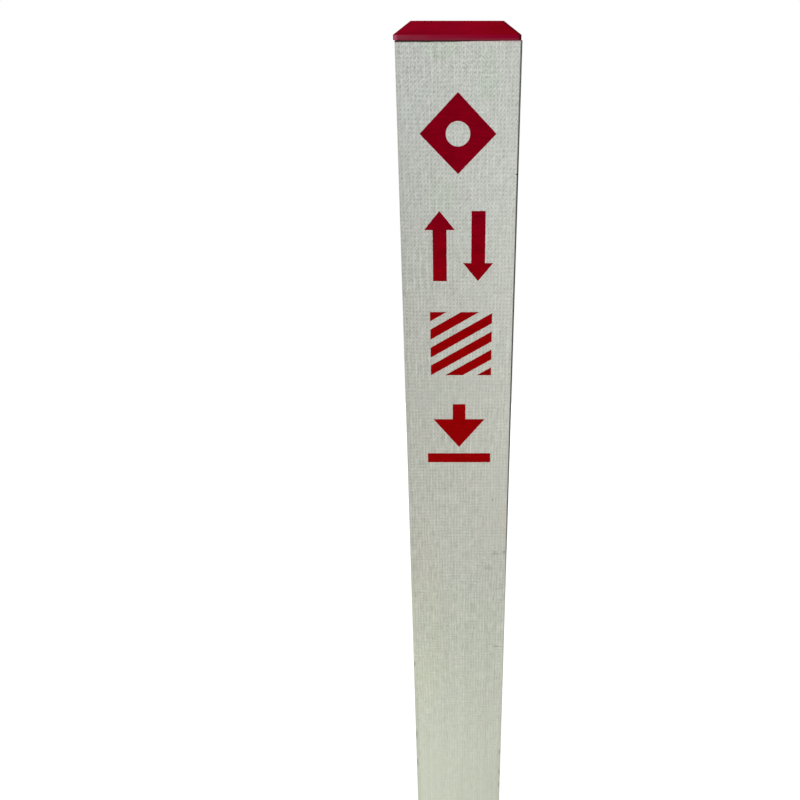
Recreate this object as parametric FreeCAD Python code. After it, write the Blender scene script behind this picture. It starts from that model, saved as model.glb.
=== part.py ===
"""Utility marker post: a square pultruded tube that stands on end, closed by a moulded plug-in cap.

Millimetres and degrees. The front face looks toward -Y, +X is to the right of a viewer in front of it,
+Z is up, and the origin is the middle of the tube's lower end.
"""
import FreeCAD, Part
import math
import os

# Tube
POST_WIDTH = 100.0
POST_LENGTH = 1000.0
POST_WALL = 4.0
POST_CORNER_RADIUS = 2.0
BORE_CORNER_RADIUS = 1.5
END_EDGE_RADIUS = 0.4
# The top end was sawn out of square: it falls from the right side to the left
TOP_END_FALL = 0.1

# Chip knocked out of the tube's right front corner
CHIP_HEIGHT = 898.0
CHIP_SIZE = 1.8
CHIP_DEPTH = 1.0

# Crown of the cap, above the tube's end
CAP_OVERHANG = 0.1
RIM_HEIGHT = 3.85
RIM_CORNER_RADIUS = 2.0
RIM_FOOT_RADIUS = 0.4
SLOPE_RISE = 9.85
SLOPE_INSET = 13.3
FLAT_CORNER_RADIUS = 1.2
CROWN_EDGE_RADIUS = 0.8
CROWN_WALL = 2.5

# Plug of the cap, inside the tube's bore
PLUG_DEPTH = 28.0
PLUG_WALL = 2.2
PLUG_CORNER_RADIUS = 4.0
PLUG_DRAFT = 1.0
LEAD_IN_HEIGHT = 3.0
LEAD_IN_INSET = 1.2
GUIDE_RIB_HEIGHT = 0.6
GUIDE_RIB_WIDTH = 2.0
GUIDE_RIB_SPACING = 28.0
GUIDE_RIBS_PER_SIDE = 3
# Play between the guide ribs and the bore, on each side of a centred cap
GUIDE_CLEARANCE = 1.0
STIFFENER_THICKNESS = 2.0
STIFFENER_DEPTH = 12.0

UP = FreeCAD.Vector(0, 0, 1)
# How far a cutting or joining body runs past the surface that it works on
MARGIN = 1.0
# Heights that differ by less than this are the same height
SAME_HEIGHT = 1e-6

# Worked out from the sizes above
BORE_WIDTH = POST_WIDTH - 2 * POST_WALL
CAP_WIDTH = POST_WIDTH + 2 * CAP_OVERHANG
FLAT_WIDTH = CAP_WIDTH - 2 * SLOPE_INSET
CROWN_HEIGHT = RIM_HEIGHT + SLOPE_RISE
PLUG_WIDTH = BORE_WIDTH - 2 * (GUIDE_CLEARANCE + GUIDE_RIB_HEIGHT)
PLUG_STRAIGHT_DEPTH = PLUG_DEPTH - LEAD_IN_HEIGHT
PLUG_TAPER = 2 * PLUG_STRAIGHT_DEPTH * math.tan(math.radians(PLUG_DRAFT))
# The cap was pushed to the left until its guide ribs met the bore
CAP_X = -GUIDE_CLEARANCE


def top_end_height(x):
    """Height of the sawn top end, which slopes across the post."""
    return POST_LENGTH - (POST_WIDTH / 2 - x) * math.tan(math.radians(TOP_END_FALL))


def rounded_square(width, corner_radius, height):
    """Closed outline of a level square with round corners, centred on the Z axis."""
    half = width / 2
    straight = half - corner_radius
    arc_middle = straight + corner_radius * math.cos(math.radians(45))
    edges = []
    for quarter in range(4):
        turn = FreeCAD.Rotation(UP, 90 * quarter)
        side_start = turn.multVec(FreeCAD.Vector(half, -straight, height))
        side_end = turn.multVec(FreeCAD.Vector(half, straight, height))
        corner_middle = turn.multVec(FreeCAD.Vector(arc_middle, arc_middle, height))
        corner_end = turn.multVec(FreeCAD.Vector(straight, half, height))
        edges.append(Part.makeLine(side_start, side_end))
        edges.append(Part.Arc(side_end, corner_middle, corner_end).toShape())
    return Part.Wire(edges)


def prism(width, corner_radius, bottom, top):
    """Square block with straight sides."""
    return Part.Face(rounded_square(width, corner_radius, bottom)).extrude(UP * (top - bottom))


def frustum(low_outline, high_outline):
    """Square block whose sides run straight from one level outline to another."""
    return Part.makeLoft([low_outline, high_outline], True, True)


def edges_at(shape, height):
    """Edges that lie level at one height."""
    return [edge for edge in shape.Edges
            if all(abs(vertex.Z - height) < SAME_HEIGHT for vertex in edge.Vertexes)]


def sawn_off_wedge():
    """What the skew saw cut takes off the tube's top end."""
    left = -POST_WIDTH / 2 - MARGIN
    right = POST_WIDTH / 2 + MARGIN
    above = POST_LENGTH + MARGIN
    front = -POST_WIDTH / 2 - MARGIN
    corners = [
        FreeCAD.Vector(left, front, top_end_height(left)),
        FreeCAD.Vector(right, front, top_end_height(right)),
        FreeCAD.Vector(right, front, above),
        FreeCAD.Vector(left, front, above),
    ]
    outline = Part.makePolygon(corners + corners[:1])
    return Part.Face(outline).extrude(FreeCAD.Vector(0, POST_WIDTH + 2 * MARGIN, 0))


def corner_chip():
    """Three-sided notch across the right front corner, deepest in the middle of its height."""
    corner = POST_WIDTH / 2
    outward = FreeCAD.Vector(1, -1, 0).normalize()
    arris = FreeCAD.Vector(corner, -corner, CHIP_HEIGHT) - outward * POST_CORNER_RADIUS * (math.sqrt(2) - 1)
    deepest = arris - outward * CHIP_DEPTH
    mouth = arris + outward * MARGIN
    mouth_half = CHIP_SIZE / 2 * (CHIP_DEPTH + MARGIN) / CHIP_DEPTH
    across = FreeCAD.Vector(1, 1, 0).normalize() * POST_CORNER_RADIUS
    outline = Part.makePolygon([deepest, mouth + UP * mouth_half, mouth - UP * mouth_half, deepest])
    notch = Part.Face(outline)
    notch.translate(-across)
    return notch.extrude(across * 2)


def post_tube():
    """Pultruded tube with a square lower end and a skew top end."""
    outside = prism(POST_WIDTH, POST_CORNER_RADIUS, 0, POST_LENGTH).cut(sawn_off_wedge())
    end_faces = [face for face in outside.Faces if abs(face.normalAt(0, 0).z) > 0.5]
    end_edges = [edge for face in end_faces for edge in face.Edges]
    outside = outside.makeFillet(END_EDGE_RADIUS, end_edges)
    bore = prism(BORE_WIDTH, BORE_CORNER_RADIUS, -MARGIN, POST_LENGTH + MARGIN)
    return outside.cut(bore).cut(corner_chip())


def cap_crown():
    """Low upright rim, four slopes and a flat top, from the rim's underside up."""
    rim = prism(CAP_WIDTH, RIM_CORNER_RADIUS, 0, RIM_HEIGHT)
    slopes = frustum(
        rounded_square(CAP_WIDTH, RIM_CORNER_RADIUS, RIM_HEIGHT),
        rounded_square(FLAT_WIDTH, FLAT_CORNER_RADIUS, CROWN_HEIGHT),
    )
    crown = rim.fuse(slopes).removeSplitter()
    soft_edges = edges_at(crown, RIM_HEIGHT) + edges_at(crown, CROWN_HEIGHT)
    crown = crown.makeFillet(CROWN_EDGE_RADIUS, soft_edges)
    return crown.makeFillet(RIM_FOOT_RADIUS, edges_at(crown, 0))


def cap_plug():
    """Drafted plug below the crown, with a lead-in at its lower end and guide ribs on its sides."""
    foot_width = PLUG_WIDTH - PLUG_TAPER
    root = rounded_square(PLUG_WIDTH, PLUG_CORNER_RADIUS, MARGIN)
    seat = rounded_square(PLUG_WIDTH, PLUG_CORNER_RADIUS, 0)
    shoulder = rounded_square(foot_width, PLUG_CORNER_RADIUS, -PLUG_STRAIGHT_DEPTH)
    foot = rounded_square(foot_width - 2 * LEAD_IN_INSET, PLUG_CORNER_RADIUS - LEAD_IN_INSET, -PLUG_DEPTH)
    plug = frustum(seat, root).fuse([frustum(shoulder, seat), frustum(foot, shoulder)])
    return plug.fuse(guide_ribs()).removeSplitter()


def guide_ribs():
    """Upright ribs on the plug's four sides, bevelled at the foot, which keep it straight in the bore."""
    tip = PLUG_WIDTH / 2 + GUIDE_RIB_HEIGHT
    root = (PLUG_WIDTH - PLUG_TAPER - PLUG_WALL) / 2
    foot = -PLUG_STRAIGHT_DEPTH
    bevel = foot + GUIDE_RIB_HEIGHT
    profile = [(root, foot), (PLUG_WIDTH / 2, foot), (tip, bevel), (tip, 0), (root, 0)]
    corners = [FreeCAD.Vector(x, -GUIDE_RIB_WIDTH / 2, z) for x, z in profile]
    rib = Part.Face(Part.makePolygon(corners + corners[:1])).extrude(FreeCAD.Vector(0, GUIDE_RIB_WIDTH, 0))
    ribs = []
    for side in range(4):
        for place in range(GUIDE_RIBS_PER_SIDE):
            offset = (place - (GUIDE_RIBS_PER_SIDE - 1) / 2) * GUIDE_RIB_SPACING
            placed = rib.translated(FreeCAD.Vector(0, offset, 0))
            placed.rotate(FreeCAD.Vector(), UP, 90 * side)
            ribs.append(placed)
    return ribs


def cap_hollow():
    """Space inside the cap. Its walls keep the plug's and the crown's thickness all round."""
    slope = math.atan2(SLOPE_RISE, SLOPE_INSET)
    mouth_width = PLUG_WIDTH - PLUG_TAPER - 2 * PLUG_WALL
    waist_width = PLUG_WIDTH - 2 * PLUG_WALL
    ceiling_width = FLAT_WIDTH - 2 * CROWN_WALL * math.tan(slope / 2)
    ceiling = CROWN_HEIGHT - CROWN_WALL
    waist = ceiling - (waist_width - ceiling_width) / 2 * math.tan(slope)
    corner_radius = PLUG_CORNER_RADIUS - PLUG_WALL
    below = rounded_square(mouth_width, corner_radius, -PLUG_DEPTH - MARGIN)
    shoulder = rounded_square(mouth_width, corner_radius, -PLUG_STRAIGHT_DEPTH)
    seat = rounded_square(waist_width, corner_radius, 0)
    top = rounded_square(waist_width, corner_radius, waist)
    roof = rounded_square(ceiling_width, FLAT_CORNER_RADIUS, ceiling)
    outlines = [below, shoulder, seat, top, roof]
    layers = [frustum(low, high) for low, high in zip(outlines, outlines[1:])]
    return layers[0].fuse(layers[1:]).removeSplitter()


def stiffeners():
    """Two upright ribs that cross under the flat top and tie the plug's opposite walls together."""
    slope = math.atan2(SLOPE_RISE, SLOPE_INSET)
    # The ends reach half way into the walls and the top edge half way into the crown
    half_length = (PLUG_WIDTH - PLUG_TAPER - PLUG_WALL) / 2
    top = CROWN_HEIGHT - CROWN_WALL / 2
    half_top = FLAT_WIDTH / 2 - CROWN_WALL / 2 * math.tan(slope / 2)
    hip = top - (half_length - half_top) * math.tan(slope)
    right_side = [(half_length, -STIFFENER_DEPTH), (half_length, hip), (half_top, top)]
    left_side = [(-x, z) for x, z in reversed(right_side)]
    corners = [FreeCAD.Vector(x, -STIFFENER_THICKNESS / 2, z) for x, z in right_side + left_side]
    rib = Part.Face(Part.makePolygon(corners + corners[:1]))
    rib = rib.extrude(FreeCAD.Vector(0, STIFFENER_THICKNESS, 0))
    return [rib, rib.rotated(FreeCAD.Vector(), UP, 90)]


def post_cap():
    """One-piece moulded cap, seated on the highest stretch of the tube's skew end."""
    body = cap_crown().fuse(cap_plug())
    cap = body.cut(cap_hollow()).fuse(stiffeners()).removeSplitter()
    bearing_x = CAP_X + CAP_WIDTH / 2 - RIM_FOOT_RADIUS
    cap.translate(FreeCAD.Vector(CAP_X, 0, top_end_height(bearing_x)))
    return cap


def main():
    os.makedirs("parts", exist_ok=True)
    for make in (post_tube, post_cap):
        make().exportStep(f"parts/{make.__name__}.step")


main()
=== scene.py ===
"""Looks of the utility marker post: finishes, painted marks, floor, light and camera.

Metres. The front face looks toward -Y, +X is to the right of a viewer in front of it, +Z is up.
Colours are linear red, green, blue and opacity, and a tint is what a colour is multiplied by.
A pair of limits says where something begins and where it is full, so it may run either way.
"""

import math

import bpy
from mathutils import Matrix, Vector, noise


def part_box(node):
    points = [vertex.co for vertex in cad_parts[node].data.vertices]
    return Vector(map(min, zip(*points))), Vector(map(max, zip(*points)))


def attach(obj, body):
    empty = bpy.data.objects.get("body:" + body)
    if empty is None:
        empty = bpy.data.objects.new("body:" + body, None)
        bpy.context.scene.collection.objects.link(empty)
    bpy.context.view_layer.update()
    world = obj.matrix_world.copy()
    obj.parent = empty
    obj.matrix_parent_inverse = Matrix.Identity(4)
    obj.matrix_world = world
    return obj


MM = 0.001
WHITE = (1.0, 1.0, 1.0, 1.0)

# Photograph: the lens and the tilt come from how the post narrows downward in it
PICTURE_WIDTH_PX = 800
POST_MIDDLE_PX = 458.5
FOCAL_LENGTH_PX = 805
SENSOR_WIDTH_MM = 36.0
CAMERA_DISTANCE = 0.686
CAMERA_RISE = 0.0006
CAMERA_TILT_DEG = 25.275

# Studio: a dome of light, brighter toward the front left, and a floor that glows like a light table
DOME_GLOW = 0.56
DOME_LEAN = (-0.14, -0.34, -0.16)
FLOOR_RADIUS = 1.4
FLOOR_COLOUR = (0.9, 0.9, 0.9, 1)
FLOOR_ROUGHNESS = 0.9
FLOOR_GLOW = 0.6
# Lamps: width, height, watts, place, what each looks at, and whether it shows in reflections
LAMPS = {
    "key_light": (0.9, 1.2, 12.0, (-1.1, -1.7, 1.9), (0, 0, 0.6), True),
    "back_fill": (1.2, 1.2, 9.0, (0.3, 1.9, 1.3), (0, 0, 0.5), False),
}

# Which way a surface faces: limits for a part of its normal
FACES_FRONT = (-0.2, -0.6)
FACES_SIDEWAYS = (0.5, 0.2)
FACES_UP_OR_DOWN = (0.8, 0.95)
TURNS_RIGHT = (0.08, 0.42)
TURNS_FRONT = (0.0, -0.1)
SLOPES_UP = ((0.5, 0.7), (0.98, 0.92))

# Limits for the edge of an oval spot: 1 is its rim and 0 its middle
SPOT_EDGE = (1.0, 0.15)

# Detail of a random field: how many finer layers are laid over it
SMOOTH = 1.0
FINE = 2.0
MOTTLED = 3.0

# Tube
TUBE_WALL = 4 * MM
TOP_END_FALL_DEG = 0.1
TUBE_GLOSS = 0.3
TUBE_ROUGHNESS = 0.5
TUBE_ROUGHNESS_CHANGE = 0.3
TUBE_ROUGHNESS_PATCHES = 300.0
# From the middle of the front and back to the middle of the sides, along the cloth's pattern
SIDE_OFFSET = 0.13

# Colour of the tube, and the stretches of its height where the foot's and the top's colours show
MIDDLE_COLOUR = (0.472, 0.478, 0.42, 1)
FOOT_COLOUR = (0.527, 0.553, 0.45, 1)
FOOT_COLOUR_HEIGHTS = (0.49, 0.19)
TOP_COLOUR = (0.496, 0.514, 0.472, 1)
TOP_COLOUR_HEIGHTS = (0.62, 0.97)
GREENISH = (0.985, 1.005, 0.99, 1)
PINKISH = (1.01, 0.995, 1.005, 1)
TINT_PATCHES = 45.0
# Places where the colour is off: middle, height, half width and half height of each, and its tint
CASTS = {
    "red near the right edge": ((45.6 * MM, 0.555, 4.5 * MM, 26 * MM), (1.05, 0.985, 0.975, 1)),
    "yellow at the lower left": ((-42 * MM, 0.42, 38 * MM, 0.16), (1.004, 1.0, 0.955, 1)),
    "green across the lower part": ((0.0, 0.40, 130 * MM, 0.10), (0.990, 1.008, 0.990, 1)),
    "blue at the top left": ((-42 * MM, 0.97, 26 * MM, 0.06), (1.0, 1.0, 1.02, 1)),
    "green under the cap": ((-14 * MM, 0.995, 18 * MM, 0.012), (0.970, 1.016, 0.955, 1)),
    "green at the upper right": ((24 * MM, 0.975, 11 * MM, 0.024), (0.982, 1.018, 0.980, 1)),
    "green between the upper marks": ((-12 * MM, 0.88, 18 * MM, 0.017), (0.982, 1.004, 0.970, 1)),
}

# Cloth that shows through the tube's skin: its threads, and how far they stand up or lie deep
WARP_PITCH = 3.0 * MM
WEFT_PITCH = 3.56 * MM
WARP_RELIEF = 0.036 * MM
WEFT_RELIEF = 0.030 * MM
RISING_PIT_DEPTH = 0.024 * MM
FALLING_PIT_DEPTH = 0.012 * MM
# Wander of the threads: patches per metre, detail, and how many threads wide the wander is
WARP_WANDER = ((25.0, FINE, 0.5), (120.0, SMOOTH, 0.5))
WEFT_WANDER = ((30.0, FINE, 0.8), (95.0, SMOOTH, 0.5))
# Each upright thread has a tone of its own: its step in the random field, and changes per metre along it
THREAD_STEP = 3.7
THREAD_CHANGES = 14
# Streaks across and up, per thread. The slanting ones are counted over and along the rising line.
UPRIGHT_STREAKS = (2.2, 0.26)
LEVEL_STREAKS = (0.3, 1.5)
SLANTING_STREAKS = (0.9, 0.2)
# Streaks and grain across and up, per metre
WIDE_STREAKS = (190, 2)
GRAIN = (832, 576)
FINE_GRAIN = (1394, 574)
# Patches per metre in which the cloth changes
CLOTH_PATCHES = {"patches": 24.0, "small patches": 75.0, "flecks": 130.0}
# Zones of the post's height in which the cloth changes
CLOTH_ZONES = {
    "high": [(0.35, 0.95)],
    "top": [(0.94, 0.975)],
    "waist": [(0.26, 0.34), (0.54, 0.46)],
    "low": [(0.45, 0.36)],
    "foot": [(0.42, 0.14)],
}
# Light and dark of the cloth: how strongly each part of it shows, and what the zones and patches add
CLOTH_TONE = {
    "warp": (0.052, {"high": -0.008, "top": 0.002, "foot": -0.012, "small patches": 0.10}),
    "grooves": (0.012, {"top": 0.030}),
    "weft": (0.026, {"high": 0.014, "small patches": -0.08}),
    "weft fade": (1.0, {"low": 0.3, "foot": -0.6}),
    "pairs": (0.18, {"low": -0.04}),
    "rising pits": (0.030, {"high": 0.018, "waist": 0.004, "flecks": 0.12}),
    "falling pits": (0.026, {"high": 0.004, "waist": 0.004, "flecks": -0.08}),
    "pit fade": (1.0, {"foot": -0.8}),
    "threads": (0.11, {}),
    "upright streaks": (0.54, {"high": -0.18, "low": -0.04, "foot": -0.12}),
    "level streaks": (0.32, {"high": -0.17, "low": 0.04, "foot": -0.18}),
    "slanting streaks": (0.05, {"high": 0.22, "top": 0.06}),
    "grain": (0.20, {"high": 0.10, "top": 0.14, "waist": 0.10}),
    "fine grain": (0.15, {"high": 0.40, "top": 0.30, "waist": 0.15}),
    "whole": (1.08, {"top": -0.08, "low": -0.10, "foot": -0.27}),
    "wide streaks": (0.05, {"low": 0.04, "foot": 0.10}),
}
# Where the cloth's light and dark are fainter: middle, height, half width, half height and share lost
FAINT_PLACES = {
    "between the two lower marks": ((0.0, 0.70, 75 * MM, 24 * MM), 0.25),
    "right of the lowest mark": ((38 * MM, 0.57, 18 * MM, 70 * MM), 0.30),
    "lower left": ((-38 * MM, 0.19, 20 * MM, 90 * MM), 0.35),
    "lower right": ((38 * MM, 0.19, 16 * MM, 80 * MM), 0.25),
    "upper left": ((-44 * MM, 0.91, 14 * MM, 60 * MM), 0.15),
    "upper right": ((42 * MM, 0.98, 14 * MM, 28 * MM), 0.20),
}

# Painted light on the front face: how much paler the right corner is than the middle, by height
SIDE_LIGHT_ZONES = {"upper": [(0.25, 0.85)], "beside the marks": [(0.50, 0.64), (0.96, 0.90)]}
PAINTED_SIDE_LIGHT = (-0.045, {"upper": 0.085, "beside the marks": 0.055})
# Painted shade on the edges: limits across the face, where 1 is the right corner, limits of height, and
# darkness
DARK_EDGES = {
    "left": ((-0.90, -0.99), (0.30, 0.60), 0.08),
    "left near the foot": ((-0.88, -0.99), (0.38, 0.30), 0.17),
    "right": ((0.94, 0.98), (0.46, 0.58), 0.14),
}

# Painted shade down the front right corner, which turns away from the light: its zone, a heavier one, and
# its strength there
CORNER_SHADE_COLOUR = (0.07, 0.075, 0.065, 1)
CORNER_SHADE_HEIGHTS = (0.44, 0.58)
DEEP_CORNER_SHADE_HEIGHTS = ((0.60, 0.68), (0.93, 0.88))
CORNER_SHADE_STRENGTH = 0.84
DEEP_CORNER_SHADE_ADDED = 0.25
CORNER_SHADE_CHANGE = 0.6
CORNER_SHADE_PATCHES = 90.0

# Black band round the tube's top edge, painted shadow under the cap's rim and dirt, which reaches further
# down on the left, and a painted red reflection of the cap
EDGE_SHADOW_AND_DIRT_COLOUR = (0.024, 0.008, 0.009, 1)
EDGE_SHADOW_AND_DIRT_REACH = 0.3 * MM
EDGE_SHADOW_AND_DIRT_REACH_ADDED = 1.05 * MM
EDGE_SHADOW_AND_DIRT_REACH_CHANGE = 0.6 * MM
EDGE_SHADOW_AND_DIRT_PATCHES = 170.0
EDGE_SHADOW_AND_DIRT_LEFTWARD = (1.0, -0.6)
# Limits of its depth, as shares of the reach
EDGE_SHADOW_AND_DIRT_FADE = (1.1, 0.7)
# Painted red reflection of the cap on the tube's top edge: its tint, and limits of its depth below the end
CAP_RED_REFLECTION = (1.0, 0.66, 0.74, 1)
CAP_RED_REFLECTION_DEPTH = (1.7 * MM, 0.4 * MM)

# Sawn ends: a core of cut fibres between two pale skins, with painted shade and grime on the top end under
# the cap
SKIN_COLOUR = (0.50, 0.51, 0.44, 1)
CORE_COLOUR = (0.36, 0.38, 0.30, 1)
SKIN_START = 0.5 * MM
SKIN_END = 0.9 * MM
SPECKLE_TONE = 0.8
SPECKLE_CHANGE = 0.7
SPECKLE_PATCHES = 1800.0
SEAT_SHADE_AND_GRIME_COLOUR = (0.05, 0.045, 0.04, 1)
SEAT_SHADE_AND_GRIME_HEIGHTS = (0.9, 0.95)
SEAT_SHADE_AND_GRIME_STRENGTH = 0.9
SAW_RELIEF = 0.5 * MM
SAW_PATCHES = 900.0

# Inside of the tube: rovings across and up, per metre. The lining begins inside the wall.
LINING_COLOUR = (0.40, 0.43, 0.35, 1)
LINING_STRANDS = (450, 6)
LINING_CHANGE = 0.5
LINING_DEPTH = (0.5 * TUBE_WALL, 0.8 * TUBE_WALL)

# Dirt on the front face, with painted light and shade: middle across, distance below the cap's seat, half
# width and half height in millimetres, and darkness. Below 0 it is a paler place.
STAINS_AND_PAINTED_LIGHT = {
    # Painted highlight where the tube's rounded top edge catches the light under the cap
    "painted highlight under the cap": [(15.0, 1.2, 24.0, 1.4, -0.14)],
    "dark spots on the corners": [
        # The first is painted shade, where the shade down the right corner widens under the cap
        (49.8, 6.0, 1.6, 7.0, 0.45),
        (49.3, 102.0, 1.3, 1.6, 0.50),
        (-49.0, 635.0, 2.2, 5.0, 0.35),
        (-49.0, 744.0, 1.8, 9.0, 0.30),
        (-49.0, 789.0, 1.4, 8.0, 0.30),
        (49.0, 772.0, 1.6, 5.0, 0.30),
        (49.0, 805.0, 1.6, 7.0, 0.25),
        (49.0, 827.0, 1.6, 6.0, 0.35),
    ],
    "specks": [
        (37.2, 83.0, 1.2, 1.2, 0.25),
        (37.2, 88.0, 1.2, 1.2, 0.25),
        (1.9, 105.0, 1.2, 1.2, 0.25),
        (34.1, 420.0, 1.2, 1.6, 0.35),
        (-40.7, 760.3, 1.4, 1.4, 0.14),
        (-4.0, 731.4, 1.5, 2.0, 0.12),
        (-9.0, 706.0, 1.2, 1.6, 0.12),
        (-19.0, 687.0, 1.3, 2.2, 0.12),
        (39.4, 749.9, 1.8, 1.8, 0.10),
    ],
    "smudges and scratches": [
        (46.4, 483.4, 2.6, 1.8, 0.28),
        (37.8, 485.3, 4.6, 3.8, 0.20),
        (31.6, 503.2, 6.0, 4.5, 0.18),
        (-28.0, 505.6, 3.0, 5.0, 0.08),
        (42.3, 609.5, 6.5, 1.1, 0.45),
        (42.7, 655.5, 4.0, 1.8, 0.12),
    ],
    "faint upright stripes": [
        (0.3, 650.0, 4.0, 240.0, -0.035),
        (-36.0, 650.0, 4.5, 85.0, -0.030),
        (30.5, 700.0, 5.0, 200.0, 0.018),
    ],
    "faint shades along the edges": [
        (47.0, 600.0, 8.0, 90.0, -0.050),
        (52.0, 820.0, 20.0, 75.0, 0.050),
        (-46.0, 665.0, 13.0, 80.0, -0.030),
        (-47.0, 485.0, 14.0, 50.0, 0.030),
    ],
}

# Cap: a mottled red, darker and less blue toward the right as painted shade, with fine grain and level
# streaks
RIM_HEIGHT = 3.85 * MM
CAP_GLOSS = 0.03
CAP_GLOSS_TINT = (1.0, 0.03, 0.1, 1)
CAP_ROUGHNESS = 0.38
CAP_ROUGHNESS_CHANGE = 0.2
CAP_DARK_RED = (0.285, 0.0, 0.010, 1)
CAP_PALE_RED = (0.320, 0.0, 0.017, 1)
CAP_MOTTLE_PATCHES = 60.0
CAP_RIGHT_TINT = (0.94, 1.0, 0.55, 1)
CAP_RIGHTWARD = (-0.2, 0.8)
CAP_SPECKLE_PATCHES = 380.0
CAP_SPECKLE_CHANGE = 0.30
CAP_STREAKS_ACROSS = 45
CAP_STREAKS_UP = 320
CAP_STREAK_CHANGE = 0.50
CAP_GRAIN_PATCHES = 1500.0
CAP_GRAIN_RELIEF = 0.02 * MM

# Upright rim of the cap: a greyish bloom with painted sheen toward the left and along the foot, a scuffed
# left end with a painted highlight, and painted shade at the right end
RIM_COLOUR = (0.220, 0.0012, 0.019, 1)
RIM_BLOOM_AND_SHEEN_COLOUR = (0.215, 0.025, 0.046, 1)
RIM_BLOOM_AND_SHEEN_LEFTWARD = ((1.0, -1.0), 0.40)
RIM_BLOOM_AND_SHEEN_LEFT_END = ((-0.3, -1.0), 0.60)
RIM_BLOOM_AND_SHEEN_TONE = 0.9
RIM_BLOOM_AND_SHEEN_CHANGE = 0.9
RIM_BLOOM_AND_SHEEN_PATCHES = 110.0
RIM_FOOT_COLOUR = (0.186, 0.022, 0.040, 1)
RIM_FOOT_HEIGHTS = (0.45 * RIM_HEIGHT, 0.15 * RIM_HEIGHT)
RIM_FOOT_STRENGTH = 0.9
# Pale left end of the rim: a scuff, and a painted highlight where the corner turns to the light
SCUFF_AND_HIGHLIGHT_COLOUR = (0.39, 0.075, 0.13, 1)
SCUFF_AND_HIGHLIGHT_REACH = (4.0 * MM, 2.4 * MM)
SCUFF_AND_HIGHLIGHT_STRENGTH = 0.9
# Dark right end of the rim: painted shade where the corner turns away from the light
RIGHT_END_SHADE_COLOUR = (0.045, 0.003, 0.004, 1)
RIGHT_END_SHADE_REACH = (3.8 * MM, 0.4 * MM)

# Cap's slopes: painted shade down the right hips, darker along the foot, and wider at the foot's left end
HIP_SHADE_REACH = (4.5 * MM, 1.0 * MM)
HIP_SHADE_DARKNESS = 0.38
SLOPE_FOOT_HEIGHT = 1.6 * MM
SLOPE_FOOT_REACH = (1.6 * MM, 0.6 * MM)
SLOPE_FOOT_LEFTWARD = (0.55, 0.0)
SLOPE_FOOT_DARKNESS = 0.12
LEFT_FOOT_HEIGHTS = ((7.0 * MM, 2.0 * MM), (-0.2 * MM, 0.4 * MM))
LEFT_FOOT_LEFTWARD = (-0.40, -0.85)
LEFT_FOOT_DARKNESS = 0.13

# Paint: how much of the cloth, of the mottling and of the brush strokes shows in its tone
PAINT_GLOSS = 0.08
PAINT_GLOSS_TINT = (1.0, 0.03, 0.05, 1)
PAINT_ROUGHNESS = 0.5
PAINT_ROUGHNESS_CHANGE = 0.2
# The lower red is brighter than the upper one to make up for light that falls off down the post: painted
# light
LOWER_RED = (0.253, 0.0, 0.0005, 1)
UPPER_RED = (0.190, 0.0, 0.007, 1)
UPPER_RED_HEIGHTS = (0.74, 0.89)
PAINT_CLOTH_SHARE = 0.45
PAINT_RELIEF_SHARE = 0.5
PAINT_MOTTLE_PATCHES = 90.0
PAINT_MOTTLE_CHANGE = 0.45
BRUSH_STROKES = (60, 420)
BRUSH_STROKE_CHANGE = 0.70

# Painted marks: how far each one's top and foot lie below the cap's seat, its width and its middle
MARK_PLACES = {
    "diamond_mark": (37.7 * MM, 101.7 * MM, 62.8 * MM, -0.4 * MM),
    "arrow_pair_mark": (132.3 * MM, 193.8 * MM, 59.7 * MM, 0.4 * MM),
    "hatch_mark": (222.5 * MM, 284.1 * MM, 55.7 * MM, 2.3 * MM),
    "down_arrow_mark": (314.0 * MM, 376.9 * MM, 60.6 * MM, 0.5 * MM),
}
MARK_STROKE = 10 * MM
MARK_FILM = 0.08 * MM
MARK_ROOT = 0.04 * MM
CIRCLE_STEPS = 96
# Arrows: the head's length as a share of its width, and half the shaft's width
HEAD_LENGTH = 0.62
SHAFT_HALF_WIDTH = 0.6 * MARK_STROKE
# Shares of a mark's width: each arrow of the pair, the arrow over the bar, and the rise of the hatching
PAIR_ARROW_SHARE = 0.44
POINTER_SHARE = 0.8
HATCH_SLANT = 0.6
# Gap between the arrow and its bar
POINTER_GAP = 0.7 * MARK_STROKE
# Hatching: how many pitches its height holds, and how much of a pitch is painted
HATCH_BARS = 3.5
HATCH_BAR_SHARE = 0.55
# Painted edges go in short steps that wander off the line. The seed makes them the same in every run.
EDGE_STEP = 0.8 * MM
EDGE_WANDER = 0.18 * MM
EDGE_WANDER_LENGTH = 1.5 * MM
EDGE_SEED = 1

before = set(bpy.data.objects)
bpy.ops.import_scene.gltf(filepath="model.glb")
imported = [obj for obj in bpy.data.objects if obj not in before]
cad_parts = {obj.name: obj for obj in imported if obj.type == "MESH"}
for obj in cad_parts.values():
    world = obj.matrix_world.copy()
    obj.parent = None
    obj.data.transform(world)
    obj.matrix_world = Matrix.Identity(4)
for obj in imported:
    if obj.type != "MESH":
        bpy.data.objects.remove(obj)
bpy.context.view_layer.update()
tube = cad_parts["post_tube"]
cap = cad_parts["post_cap"]
tube_low, tube_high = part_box("post_tube")
cap_low, cap_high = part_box("post_cap")
FRONT_Y = tube_low.y
HALF_WIDTH = tube_high.x
SEAT_Z = tube_high.z
CAP_MIDDLE_X = (cap_low.x + cap_high.x) / 2


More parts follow.
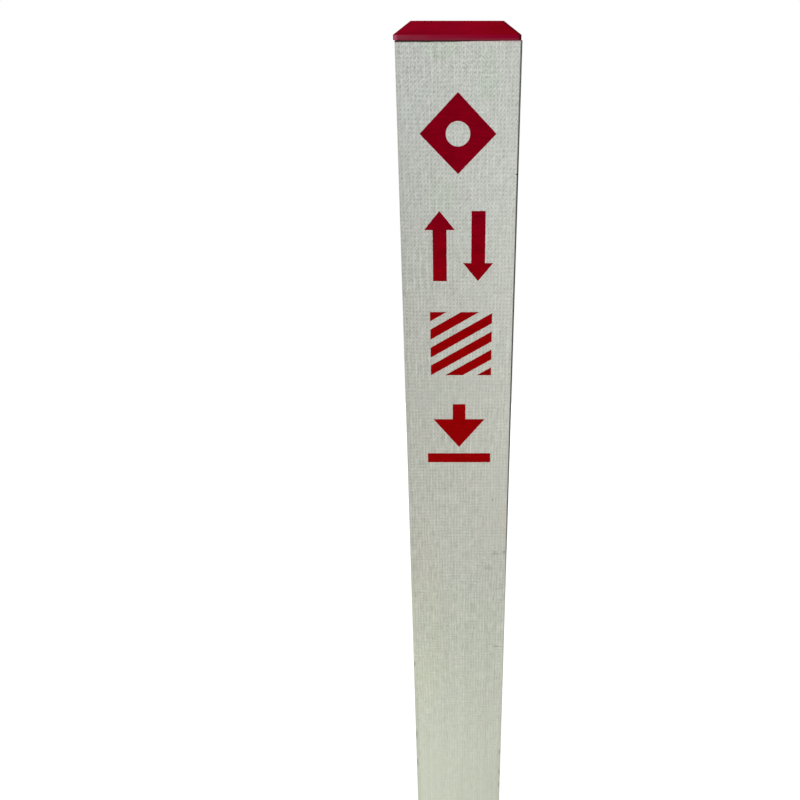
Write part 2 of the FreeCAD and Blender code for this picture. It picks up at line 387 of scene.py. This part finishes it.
class Field:
    """A value that varies over a surface. Arithmetic on it adds the matching nodes to its tree."""

    def __init__(self, socket):
        self.socket = socket
        self.tree = socket.id_data

    def math(self, operation, *others):
        node = self.tree.nodes.new("ShaderNodeMath")
        node.operation = operation
        for place, value in enumerate((self, *others)):
            plug(value, node.inputs[place])
        return Field(node.outputs[0])

    def __add__(self, other):
        return self.math("ADD", other)

    def __sub__(self, other):
        return self.math("SUBTRACT", other)

    def __mul__(self, other):
        return self.math("MULTIPLY", other)

    def __truediv__(self, other):
        return self.math("DIVIDE", other)

    def __rsub__(self, other):
        return (self - other) * -1

    __radd__ = __add__
    __rmul__ = __mul__

    def size(self):
        return self.math("ABSOLUTE")

    def nearest(self):
        return self.math("ROUND")

    def wave(self):
        """1 at whole numbers and -1 half way between them."""
        return (self * math.tau).math("COSINE")

    def larger(self, other):
        return self.math("MAXIMUM", other)

    def above(self, limit):
        return self.math("GREATER_THAN", limit)

    def rise(self, start, full):
        """0 before start, 1 past full, and a smooth change between them. Either may be the lower one."""
        node = self.tree.nodes.new("ShaderNodeMapRange")
        node.interpolation_type = "SMOOTHSTEP"
        plug(self, node.inputs["Value"])
        node.inputs["From Min"].default_value = min(start, full)
        node.inputs["From Max"].default_value = max(start, full)
        node.inputs["To Min"].default_value = 0.0 if start < full else 1.0
        node.inputs["To Max"].default_value = 1.0 if start < full else 0.0
        return Field(node.outputs["Result"])

    def within(self, limits):
        """1 where every one of some pairs of limits is full."""
        return math.prod(self.rise(*pair) for pair in limits)

    def split(self):
        node = self.tree.nodes.new("ShaderNodeSeparateXYZ")
        plug(self, node.inputs[0])
        return [Field(socket) for socket in node.outputs]


def plug(value, target):
    """Feeds a node's input with a field, or sets it to a constant."""
    if isinstance(value, Field):
        target.id_data.links.new(value.socket, target)
    else:
        target.default_value = value


def vector(x, y, z=0.0):
    """Three fields or numbers as one vector field."""
    tree = next(value.tree for value in (x, y, z) if isinstance(value, Field))
    node = tree.nodes.new("ShaderNodeCombineXYZ")
    for value, target in zip((x, y, z), node.inputs):
        plug(value, target)
    return Field(node.outputs[0])


def cloud(place, scale, detail=FINE):
    """Soft random field about 0, from roughly -0.5 to 0.5. Scale is in patches per unit of place."""
    node = place.tree.nodes.new("ShaderNodeTexNoise")
    plug(place, node.inputs["Vector"])
    node.inputs["Scale"].default_value = scale
    node.inputs["Detail"].default_value = detail
    return Field(node.outputs[0]) - 0.5


def streaks(across, up, counts, detail=SMOOTH):
    """Random field drawn out one way, with so many patches per unit across and per unit up."""
    per_across, per_up = counts
    return cloud(vector(across * per_across, up * per_up), 1.0, detail)


def mixing(random):
    """A random field about 0, doubled and moved to about 0.5, for mixing two colours."""
    return 0.5 + random * 2.0


def weighed(base, weights, fields):
    """A base value plus each named field times its weight."""
    return base + sum(fields[name] * weight for name, weight in weights.items())


def blend(amount, first, second, mode="MIX"):
    """Colour that goes from first to second with amount."""
    owner = next(value for value in (amount, first, second) if isinstance(value, Field))
    node = owner.tree.nodes.new("ShaderNodeMix")
    node.data_type = "RGBA"
    node.blend_type = mode
    sockets = {socket.identifier: socket for socket in (*node.inputs, *node.outputs)}
    plug(amount, sockets["Factor_Float"])
    plug(first, sockets["A_Color"])
    plug(second, sockets["B_Color"])
    return Field(sockets["Result_Color"])


def grey(amount):
    """A field as a colour, for multiplying."""
    node = amount.tree.nodes.new("ShaderNodeCombineColor")
    for target in node.inputs:
        plug(amount, target)
    return Field(node.outputs[0])


def tint(colour, factor):
    return blend(1.0, colour, factor, "MULTIPLY")


def shade(colour, tone):
    return tint(colour, grey(tone))


class Surface:
    """A material in the making, with fields for where a point lies and which way the surface faces there."""

    def __init__(self, name, gloss, gloss_tint=WHITE):
        self.material = bpy.data.materials.new(name)
        self.material.use_nodes = True
        nodes = self.material.node_tree.nodes
        self.shader = nodes["Principled BSDF"]
        self.shader.inputs["Specular IOR Level"].default_value = gloss
        self.shader.inputs["Specular Tint"].default_value = gloss_tint
        source = nodes.new("ShaderNodeTexCoord")
        self.place = Field(source.outputs["Object"])
        self.x, self.y, self.z = self.place.split()
        self.face_x, self.face_y, self.face_z = Field(source.outputs["Normal"]).split()
        self.front = self.face_y.rise(*FACES_FRONT)

    def across(self):
        """-1 at the tube's left side and 1 at its right side."""
        return self.x / HALF_WIDTH

    def finish(self, colour, roughness, height):
        """Sets the surface's colour, its roughness and its relief in metres."""
        plug(colour, self.shader.inputs["Base Color"])
        plug(roughness, self.shader.inputs["Roughness"])
        bump = self.material.node_tree.nodes.new("ShaderNodeBump")
        bump.inputs["Distance"].default_value = 1.0
        plug(height, bump.inputs["Height"])
        plug(Field(bump.outputs[0]), self.shader.inputs["Normal"])
        return self.material


class Cloth:
    """The woven cloth at the surface: thread counts across and up, and the waves that they make.
    Pairs is a wave over two upright threads, and grooves has two waves to a thread."""

    def __init__(self, across, up):
        self.across = across
        self.up = up
        self.spread = vector(across, up)
        self.warp_count = across / WARP_PITCH + self.wander(WARP_WANDER)
        self.weft_count = up / WEFT_PITCH + self.wander(WEFT_WANDER)
        self.warp = self.warp_count.wave()
        self.weft = self.weft_count.wave()
        self.rising = (self.warp_count - self.weft_count).wave()
        self.falling = (self.warp_count + self.weft_count).wave()
        self.pairs = (self.warp_count * 0.5).wave()
        self.grooves = (self.warp_count * 2.0).wave()

    def wander(self, waves):
        return sum(cloud(self.spread, scale, detail) * reach for scale, detail, reach in waves)

    def relief(self):
        ridges = self.warp * WARP_RELIEF + self.weft * WEFT_RELIEF
        return ridges - self.rising * RISING_PIT_DEPTH - self.falling * FALLING_PIT_DEPTH

    def threads(self):
        """A value for each upright thread that changes slowly along it."""
        return streaks(self.warp_count.nearest(), self.up, (THREAD_STEP, THREAD_CHANGES))

    def thread_streaks(self, counts):
        """Random streaks counted per thread across and up."""
        return streaks(self.warp_count, self.weft_count, counts)

    def slanting_streaks(self):
        """Random streaks that rise to the right."""
        over = self.warp_count - self.weft_count
        along = self.warp_count + self.weft_count
        return streaks(over, along, SLANTING_STREAKS)

    def surroundings(self):
        """The zones and random patches that change the cloth's tone, by name."""
        zones = {name: self.up.within(limits) for name, limits in CLOTH_ZONES.items()}
        patches = {name: cloud(self.spread, scale, SMOOTH) for name, scale in CLOTH_PATCHES.items()}
        return zones | patches


def tube_coordinate(surface):
    """Distance across whichever side of the tube a point lies on."""
    on_side = (surface.face_x.size() - surface.face_y.size()).above(0.0)
    return surface.x + (surface.y + SIDE_OFFSET - surface.x) * on_side


def spot(across, up, middle, height, half_width, half_height):
    """Soft oval mask."""
    sideways = (across - middle) / half_width
    upward = (up - height) / half_height
    return (sideways * sideways + upward * upward).rise(*SPOT_EDGE)


def stains_and_painted_light(surface):
    """How dark the stains and the painted light and shade make the front face, from 0."""
    total = 0.0
    for group in STAINS_AND_PAINTED_LIGHT.values():
        for middle, depth, half_width, half_height, darkness in group:
            height = SEAT_Z - depth * MM
            mask = spot(surface.x, surface.z, middle * MM, height, half_width * MM, half_height * MM)
            total = total + mask * darkness
    return total * surface.front


def woven_tone(cloth):
    """Light and dark of the cloth's threads, about 1."""
    around = cloth.surroundings()
    amount = {part: weighed(base, weights, around) for part, (base, weights) in CLOTH_TONE.items()}
    ridges = (
        cloth.warp * amount["warp"]
        + cloth.grooves * amount["grooves"]
        + cloth.weft * amount["weft"] * amount["weft fade"]
        + cloth.pairs * around["patches"] * amount["pairs"]
    )
    pits = cloth.rising * amount["rising pits"] + cloth.falling * amount["falling pits"]
    uneven = (
        cloth.threads() * amount["threads"]
        + cloth.thread_streaks(UPRIGHT_STREAKS) * amount["upright streaks"]
        + cloth.thread_streaks(LEVEL_STREAKS) * amount["level streaks"]
        + cloth.slanting_streaks() * amount["slanting streaks"]
        + streaks(cloth.across, cloth.up, GRAIN) * amount["grain"]
        + streaks(cloth.across, cloth.up, FINE_GRAIN) * amount["fine grain"]
    )
    strength = amount["whole"]
    for place, lost in FAINT_PLACES.values():
        strength = strength * (1.0 - spot(cloth.across, cloth.up, *place) * lost)
    wide_streaks = streaks(cloth.across, cloth.up, WIDE_STREAKS) * amount["wide streaks"]
    return 1.0 + (ridges - pits * amount["pit fade"] + uneven) * strength + wide_streaks


def tube_material():
    surface = Surface("woven_fibre_plastic", TUBE_GLOSS)
    cloth = Cloth(tube_coordinate(surface), surface.z)
    # Besides the cloth and its stains, the tone and colour carry painted light and shade: paler and darker
    # sides, shade down the right corner, the shadow and red reflection under the cap, and shade on the top
    # end.
    tone = woven_tone(cloth) + painted_side_light_and_edge_shade(surface)
    colour = shade(tube_colour(surface, cloth), tone - stains_and_painted_light(surface))
    colour = painted_corner_shade(surface, colour)
    colour = top_edge_shadow_and_dirt(surface, colour)
    colour = sawn_ends(surface, colour)
    colour = bore_lining(surface, colour)
    end = end_mask(surface)
    roughness = TUBE_ROUGHNESS + cloud(cloth.spread, TUBE_ROUGHNESS_PATCHES) * TUBE_ROUGHNESS_CHANGE
    saw_marks = cloud(surface.place, SAW_PATCHES, SMOOTH) * SAW_RELIEF
    return surface.finish(colour, roughness.larger(end), cloth.relief() * (1.0 - end) + saw_marks * end)


def tube_colour(surface, cloth):
    """Colour of the plastic without its cloth and dirt: paler and greener at the foot, greyer at the top."""
    colour = blend(surface.z.rise(*FOOT_COLOUR_HEIGHTS), MIDDLE_COLOUR, FOOT_COLOUR)
    colour = blend(surface.z.rise(*TOP_COLOUR_HEIGHTS), colour, TOP_COLOUR)
    patches = mixing(cloud(cloth.spread, TINT_PATCHES, SMOOTH))
    colour = blend(patches, tint(colour, PINKISH), tint(colour, GREENISH))
    for place, cast in CASTS.values():
        colour = blend(spot(surface.x, surface.z, *place) * surface.front, colour, tint(colour, cast))
    return colour


def painted_side_light_and_edge_shade(surface):
    """Painted light and shade: paler on the right at the top and on the left at the foot, darker at the
    edges.
    """
    across = surface.across()
    zones = {name: surface.z.within(limits) for name, limits in SIDE_LIGHT_ZONES.items()}
    tone = across * weighed(*PAINTED_SIDE_LIGHT, zones)
    for sideways, heights, darkness in DARK_EDGES.values():
        tone = tone - across.rise(*sideways) * surface.z.rise(*heights) * darkness
    return tone * surface.front


def painted_corner_shade(surface, colour):
    """Painted shade down the front right corner, heaviest beside the marks and gone near the foot."""
    corner = surface.face_x.rise(*TURNS_RIGHT) * surface.face_y.rise(*TURNS_FRONT)
    heavy = surface.z.within(DEEP_CORNER_SHADE_HEIGHTS) * DEEP_CORNER_SHADE_ADDED
    strength = CORNER_SHADE_STRENGTH + heavy + cloud(surface.place, CORNER_SHADE_PATCHES) * CORNER_SHADE_CHANGE
    return blend(corner * surface.z.rise(*CORNER_SHADE_HEIGHTS) * strength, colour, CORNER_SHADE_COLOUR)


def top_edge_shadow_and_dirt(surface, colour):
    """Black band round the tube's top edge, painted shadow under the cap's rim and grime, wider to the left,
    and a painted red reflection of the cap.
    """
    fall = math.tan(math.radians(TOP_END_FALL_DEG))
    below_end = SEAT_Z - surface.z - (HALF_WIDTH - surface.x) * fall
    leftward = surface.across().rise(*EDGE_SHADOW_AND_DIRT_LEFTWARD) * EDGE_SHADOW_AND_DIRT_REACH_ADDED
    reach = EDGE_SHADOW_AND_DIRT_REACH + leftward + cloud(surface.place, EDGE_SHADOW_AND_DIRT_PATCHES) * EDGE_SHADOW_AND_DIRT_REACH_CHANGE
    colour = blend(below_end.rise(*CAP_RED_REFLECTION_DEPTH), colour, tint(colour, CAP_RED_REFLECTION))
    return blend((below_end / reach).rise(*EDGE_SHADOW_AND_DIRT_FADE), colour, EDGE_SHADOW_AND_DIRT_COLOUR)


def end_mask(surface):
    return surface.face_z.size().rise(*FACES_UP_OR_DOWN)


def sawn_ends(surface, colour):
    """Cut fibres between two pale skins, with painted shade and grime on the top end under the cap."""
    depth = HALF_WIDTH - surface.x.size().larger(surface.y.size())
    core = depth.rise(SKIN_START, SKIN_END) * depth.rise(TUBE_WALL - SKIN_START, TUBE_WALL - SKIN_END)
    speckle = SPECKLE_TONE + cloud(surface.place, SPECKLE_PATCHES, SMOOTH) * SPECKLE_CHANGE
    cut = shade(blend(core, SKIN_COLOUR, CORE_COLOUR), speckle)
    cut = blend(surface.z.rise(*SEAT_SHADE_AND_GRIME_HEIGHTS) * SEAT_SHADE_AND_GRIME_STRENGTH, cut, SEAT_SHADE_AND_GRIME_COLOUR)
    return blend(end_mask(surface), colour, cut)


def bore_lining(surface, colour):
    """Long rovings under clear resin on the inside of the tube."""
    depth = HALF_WIDTH - surface.x.size().larger(surface.y.size())
    strands = streaks(tube_coordinate(surface), surface.z, LINING_STRANDS, FINE)
    lining = shade(LINING_COLOUR, 1.0 + strands * LINING_CHANGE)
    return blend(depth.rise(*LINING_DEPTH), colour, lining)


def cap_material():
    surface = Surface("moulded_red_plastic", CAP_GLOSS, CAP_GLOSS_TINT)
    mottle = cloud(surface.place, CAP_MOTTLE_PATCHES, MOTTLED)
    colour = blend(mixing(mottle), CAP_DARK_RED, CAP_PALE_RED)
    # Painted shade darkens the cap toward the right, and the rim and hips below carry painted sheen,
    # highlight and shade.
    colour = blend(surface.across().rise(*CAP_RIGHTWARD), colour, tint(colour, CAP_RIGHT_TINT))
    colour = shade(colour, cap_tone(surface))
    colour = cap_rim(surface, colour)
    colour = cap_hip_shade_and_dark_foot(surface, colour)
    roughness = CAP_ROUGHNESS + mottle * CAP_ROUGHNESS_CHANGE
    return surface.finish(colour, roughness, cloud(surface.place, CAP_GRAIN_PATCHES) * CAP_GRAIN_RELIEF)


def cap_tone(surface):
    """Light and dark of the cap's plastic, about 1: fine speckles and level streaks."""
    level_x = surface.x * CAP_STREAKS_ACROSS
    level_y = surface.y * CAP_STREAKS_ACROSS
    level_streaks = cloud(vector(level_x, level_y, surface.z * CAP_STREAKS_UP), 1.0)
    speckles = cloud(surface.place, CAP_SPECKLE_PATCHES, SMOOTH)
    return 1.0 + speckles * CAP_SPECKLE_CHANGE + level_streaks * CAP_STREAK_CHANGE


def cap_rim(surface, colour):
    """The upright rim is duller than the slopes. It has a greyish whitening with painted sheen at the left
    and along its foot, a scuff with a painted highlight on the left corner, and painted shade on the right
    one."""
    across = surface.across()
    shares = (RIM_BLOOM_AND_SHEEN_LEFTWARD, RIM_BLOOM_AND_SHEEN_LEFT_END)
    leftward = sum(across.rise(*limits) * share for limits, share in shares)
    bloom_and_sheen = RIM_BLOOM_AND_SHEEN_TONE + cloud(surface.place, RIM_BLOOM_AND_SHEEN_PATCHES) * RIM_BLOOM_AND_SHEEN_CHANGE
    rim = blend(leftward * bloom_and_sheen, RIM_COLOUR, RIM_BLOOM_AND_SHEEN_COLOUR)
    foot = (surface.z - SEAT_Z).rise(*RIM_FOOT_HEIGHTS)
    rim = blend(foot * bloom_and_sheen * RIM_FOOT_STRENGTH, rim, RIM_FOOT_COLOUR)
    scuff_and_highlight = (surface.x - cap_low.x).rise(*SCUFF_AND_HIGHLIGHT_REACH) * surface.front
    rim = blend(scuff_and_highlight * SCUFF_AND_HIGHLIGHT_STRENGTH, rim, SCUFF_AND_HIGHLIGHT_COLOUR)
    right_end_shade = (cap_high.x - surface.x).rise(*RIGHT_END_SHADE_REACH) * surface.front
    rim = blend(right_end_shade, rim, RIGHT_END_SHADE_COLOUR)
    return blend(surface.face_z.size().rise(*FACES_SIDEWAYS), colour, rim)


def cap_hip_shade_and_dark_foot(surface, colour):
    """Painted shade down the two right hips, darker along the slopes' foot, and a wider shade at the foot's
    left end.
    """
    across = surface.across()
    beside_hip = (surface.y.size() - (surface.x - CAP_MIDDLE_X)).size()
    hips = beside_hip.rise(*HIP_SHADE_REACH) * surface.face_z.within(SLOPES_UP)
    above_rim = surface.z - SEAT_Z - RIM_HEIGHT
    foot = (above_rim - SLOPE_FOOT_HEIGHT).size().rise(*SLOPE_FOOT_REACH) * across.rise(*SLOPE_FOOT_LEFTWARD)
    left_foot = across.rise(*LEFT_FOOT_LEFTWARD) * above_rim.within(LEFT_FOOT_HEIGHTS) * surface.front
    darkness = (hips * HIP_SHADE_DARKNESS).larger(foot * SLOPE_FOOT_DARKNESS)
    return shade(colour, 1.0 - darkness.larger(left_foot * LEFT_FOOT_DARKNESS))


def paint_material():
    surface = Surface("red_paint", PAINT_GLOSS, PAINT_GLOSS_TINT)
    cloth = Cloth(surface.x, surface.z)
    colour = blend(surface.z.rise(*UPPER_RED_HEIGHTS), LOWER_RED, UPPER_RED)
    weave = (woven_tone(cloth) - 1.0) * PAINT_CLOTH_SHARE
    mottle = cloud(cloth.spread, PAINT_MOTTLE_PATCHES, MOTTLED)
    strokes = streaks(surface.x, surface.z, BRUSH_STROKES, FINE) * BRUSH_STROKE_CHANGE
    colour = shade(colour, 1.0 + weave + mottle * PAINT_MOTTLE_CHANGE + strokes)
    roughness = PAINT_ROUGHNESS + mottle * PAINT_ROUGHNESS_CHANGE
    return surface.finish(colour, roughness, cloth.relief() * PAINT_RELIEF_SHARE)


def circle(radius):
    turns = [math.tau * step / CIRCLE_STEPS for step in range(CIRCLE_STEPS)]
    return [Vector((radius * math.cos(turn), radius * math.sin(turn))) for turn in turns]


def polygon(*corners):
    return [Vector(corner) for corner in corners]


def moved(loop, x, y):
    return [point + Vector((x, y)) for point in loop]


def arrow(width, height, up):
    """Upright arrow about the middle of its height."""
    way = 1 if up else -1
    tip = way * height / 2
    neck = tip - way * width * HEAD_LENGTH
    right = [(0, tip), (width / 2, neck), (SHAFT_HALF_WIDTH, neck), (SHAFT_HALF_WIDTH, -tip)]
    left = [(-x, y) for x, y in reversed(right[1:])]
    return polygon(*right, *left)


def diamond_mark(width, height):
    """Diamond with a round hole."""
    diamond = polygon((width / 2, 0), (0, height / 2), (-width / 2, 0), (0, -height / 2))
    return [diamond, circle(MARK_STROKE)]


def arrow_pair_mark(width, height):
    """Two arrows side by side, one up and one down."""
    each = width * PAIR_ARROW_SHARE
    offset = (width - each) / 2
    return [moved(arrow(each, height, up), side * offset, 0) for up, side in ((True, -1), (False, 1))]


def hatch_mark(width, height):
    """Square field of slanting bars, the outer ones cut off at its top and foot."""
    pitch = height / HATCH_BARS
    last = math.floor(HATCH_BARS)
    loops = []
    for number in range(-last, last + 1):
        low = -height / 2 + number * pitch
        corners = clip_band(width, height, low, pitch * HATCH_BAR_SHARE, width * HATCH_SLANT)
        if corners:
            loops.append(polygon(*corners))
    return loops


def clip_band(width, height, low, bar, slant):
    """Corners of a slanting bar, cut off level at the field's top and foot."""
    corners = [
        (-width / 2, low),
        (width / 2, low + slant),
        (width / 2, low + slant + bar),
        (-width / 2, low + bar),
    ]
    for limit, sign in ((height / 2, 1), (-height / 2, -1)):
        kept = []
        for start, end in zip(corners, corners[1:] + corners[:1]):
            start_in = sign * start[1] <= sign * limit
            end_in = sign * end[1] <= sign * limit
            if start_in:
                kept.append(start)
            if start_in != end_in:
                share = (limit - start[1]) / (end[1] - start[1])
                kept.append((start[0] + share * (end[0] - start[0]), limit))
        corners = kept
    return corners


def down_arrow_mark(width, height):
    """Arrow that points down at a bar."""
    foot = -height / 2
    arrow_height = height - MARK_STROKE - POINTER_GAP
    pointer = arrow(width * POINTER_SHARE, arrow_height, False)
    bar_top = foot + MARK_STROKE
    bar = polygon((-width / 2, foot), (width / 2, foot), (width / 2, bar_top), (-width / 2, bar_top))
    return [moved(pointer, 0, (height - arrow_height) / 2), bar]


def ragged(loop, layer):
    """A loop's outline in short steps, with the small wander of a painted edge. Each mark has a layer of
    the noise to itself."""
    points = []
    for start, end in zip(loop, loop[1:] + loop[:1]):
        steps = max(1, round((end - start).length / EDGE_STEP))
        for step in range(steps):
            point = start.lerp(end, step / steps)
            shift = noise.noise_vector(Vector((point.x, point.y, layer)) / EDGE_WANDER_LENGTH)
            points.append(point + shift.xy * EDGE_WANDER)
    return points


def mark_outline(name, loops):
    """Flat curve filled between the loops, as thick as the paint and its root in the surface."""
    curve = bpy.data.curves.new(name, "CURVE")
    curve.dimensions = "2D"
    curve.fill_mode = "BOTH"
    curve.extrude = (MARK_FILM + MARK_ROOT) / 2
    for points in loops:
        spline = curve.splines.new("POLY")
        spline.points.add(len(points) - 1)
        spline.use_cyclic_u = True
        for target, point in zip(spline.points, points):
            target.co = (point.x, point.y, 0.0, 1.0)
    return curve


def painted_mark(name, make, place, layer, material):
    """A thin film of paint on the front face, in the form that make gives."""
    top, foot, width, middle = place
    curve = mark_outline(name, [ragged(loop, layer) for loop in make(width, foot - top)])
    drawn = bpy.data.objects.new(name + "_outline", curve)
    bpy.context.scene.collection.objects.link(drawn)
    drawn.rotation_euler = (math.radians(90), 0, 0)
    drawn.location = (middle, FRONT_Y - (MARK_FILM - MARK_ROOT) / 2, SEAT_Z - (top + foot) / 2)
    bpy.context.view_layer.update()
    mesh = bpy.data.meshes.new_from_object(drawn.evaluated_get(bpy.context.evaluated_depsgraph_get()))
    mesh.transform(drawn.matrix_world)
    bpy.data.objects.remove(drawn)
    mesh.name = name
    mark = bpy.data.objects.new(name, mesh)
    dress(mark, material)
    bpy.context.scene.collection.objects.link(mark)
    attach(mark, "root")


def dress(piece, material):
    """Gives a piece its one finish."""
    piece.data.materials.clear()
    piece.data.materials.append(material)


def floor():
    """Plain pale floor, lit from within like a light table."""
    mesh = bpy.data.meshes.new("floor")
    rim = [(point.x, point.y, 0.0) for point in circle(FLOOR_RADIUS)]
    mesh.from_pydata(rim, [], [range(len(rim))])
    board = bpy.data.objects.new("floor", mesh)
    bpy.context.scene.collection.objects.link(board)
    material = bpy.data.materials.new("pale_floor")
    material.use_nodes = True
    shader = material.node_tree.nodes["Principled BSDF"]
    shader.inputs["Base Color"].default_value = FLOOR_COLOUR
    shader.inputs["Roughness"].default_value = FLOOR_ROUGHNESS
    shader.inputs["Specular IOR Level"].default_value = 0.0
    shader.inputs["Emission Color"].default_value = WHITE
    shader.inputs["Emission Strength"].default_value = FLOOR_GLOW
    mesh.materials.append(material)


def soft_box(name, width, height, watts, location, target, in_reflections):
    """Rectangular lamp that looks at a target."""
    lamp = bpy.data.lights.new(name, "AREA")
    lamp.shape = "RECTANGLE"
    lamp.size = width
    lamp.size_y = height
    lamp.energy = watts
    box = bpy.data.objects.new(name, lamp)
    bpy.context.scene.collection.objects.link(box)
    box.location = location
    box.rotation_euler = (Vector(target) - box.location).to_track_quat("-Z", "Y").to_euler()
    box.visible_glossy = in_reflections


def studio_light():
    """A dome that the camera sees as plain white, and the soft boxes."""
    world = bpy.data.worlds.new("studio")
    bpy.context.scene.world = world
    world.use_nodes = True
    nodes = world.node_tree.nodes
    direction = Field(nodes.new("ShaderNodeTexCoord").outputs["Generated"])
    glow = DOME_GLOW + sum(part * lean for part, lean in zip(direction.split(), DOME_LEAN))
    seen = Field(nodes.new("ShaderNodeLightPath").outputs["Is Camera Ray"])
    background = nodes["Background"]
    plug(glow + (1.0 - glow) * seen, background.inputs["Strength"])
    background.inputs["Color"].default_value = WHITE
    for name, lamp in LAMPS.items():
        soft_box(name, *lamp)


def camera():
    """The photograph's viewpoint: level with the cap, close in front, tilted down along the post."""
    lens = bpy.data.cameras.new("camera")
    lens.sensor_width = SENSOR_WIDTH_MM
    lens.lens = SENSOR_WIDTH_MM * FOCAL_LENGTH_PX / PICTURE_WIDTH_PX
    lens.shift_x = (PICTURE_WIDTH_PX / 2 - POST_MIDDLE_PX) / PICTURE_WIDTH_PX
    viewer = bpy.data.objects.new("camera", lens)
    bpy.context.scene.collection.objects.link(viewer)
    viewer.location = (0, FRONT_Y - CAMERA_DISTANCE, cap_high.z + CAMERA_RISE)
    viewer.rotation_euler = (math.radians(90 - CAMERA_TILT_DEG), 0, 0)
    bpy.context.scene.camera = viewer
    bpy.context.scene.view_settings.view_transform = "Standard"


dress(tube, tube_material())
dress(cap, cap_material())
paint = paint_material()
noise.seed_set(EDGE_SEED)
for layer, make in enumerate((diamond_mark, arrow_pair_mark, hatch_mark, down_arrow_mark)):
    painted_mark(make.__name__, make, MARK_PLACES[make.__name__], layer, paint)
floor()
studio_light()
camera()
